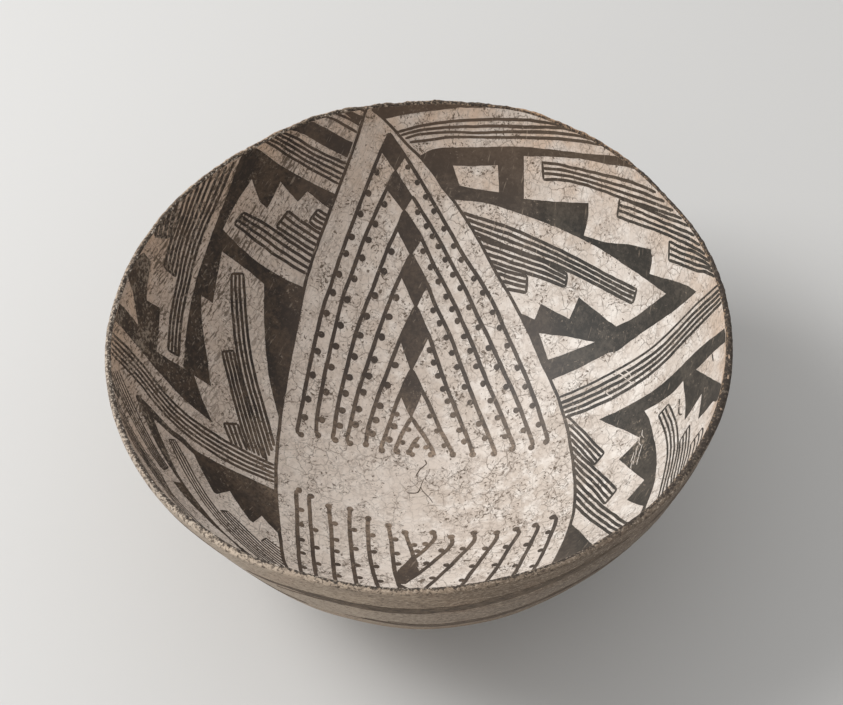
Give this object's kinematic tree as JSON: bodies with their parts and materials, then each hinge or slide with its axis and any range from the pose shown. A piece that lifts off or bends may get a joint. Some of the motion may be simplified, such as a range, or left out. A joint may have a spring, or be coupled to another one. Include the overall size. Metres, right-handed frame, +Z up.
{
  "type": "pottery bowl",
  "caption": "Deep hemispherical hand-built pottery bowl, white-slipped inside with a black geometric painted design, scraped tan outside, on a small flattened base.",
  "frame": {"origin": "centre of the flat resting spot under the base", "axes": "+Z up along the bowl's axis, -Y towards the pictured front, +X to the right of it"},
  "size_m": [0.3, 0.3, 0.13],
  "materials": {
    "clay_body": "bare low-fired earthenware, scraped",
    "white_slip": "polished white slip, finely crackled",
    "exterior_wash": "thin scraped wash, matt",
    "black_paint": "mineral black-brown paint, matt, worn"
  },
  "bodies": {
    "root": {"base_pat": "clay_body", "wall_coil_01": "clay_body", "wall_coil_02": "clay_body", "wall_coil_03": "clay_body", "wall_coil_04": "clay_body", "wall_coil_05": "clay_body", "wall_coil_06": "clay_body", "wall_coil_07": "clay_body", "wall_coil_08": "clay_body", "wall_coil_09": "clay_body", "wall_coil_10": "clay_body", "wall_coil_11": "clay_body", "wall_coil_12": "clay_body", "rim_coil": "clay_body", "interior_slip": "white_slip", "exterior_wash": "exterior_wash", "rim_paint": "black_paint"}
  },
  "joints": []
}
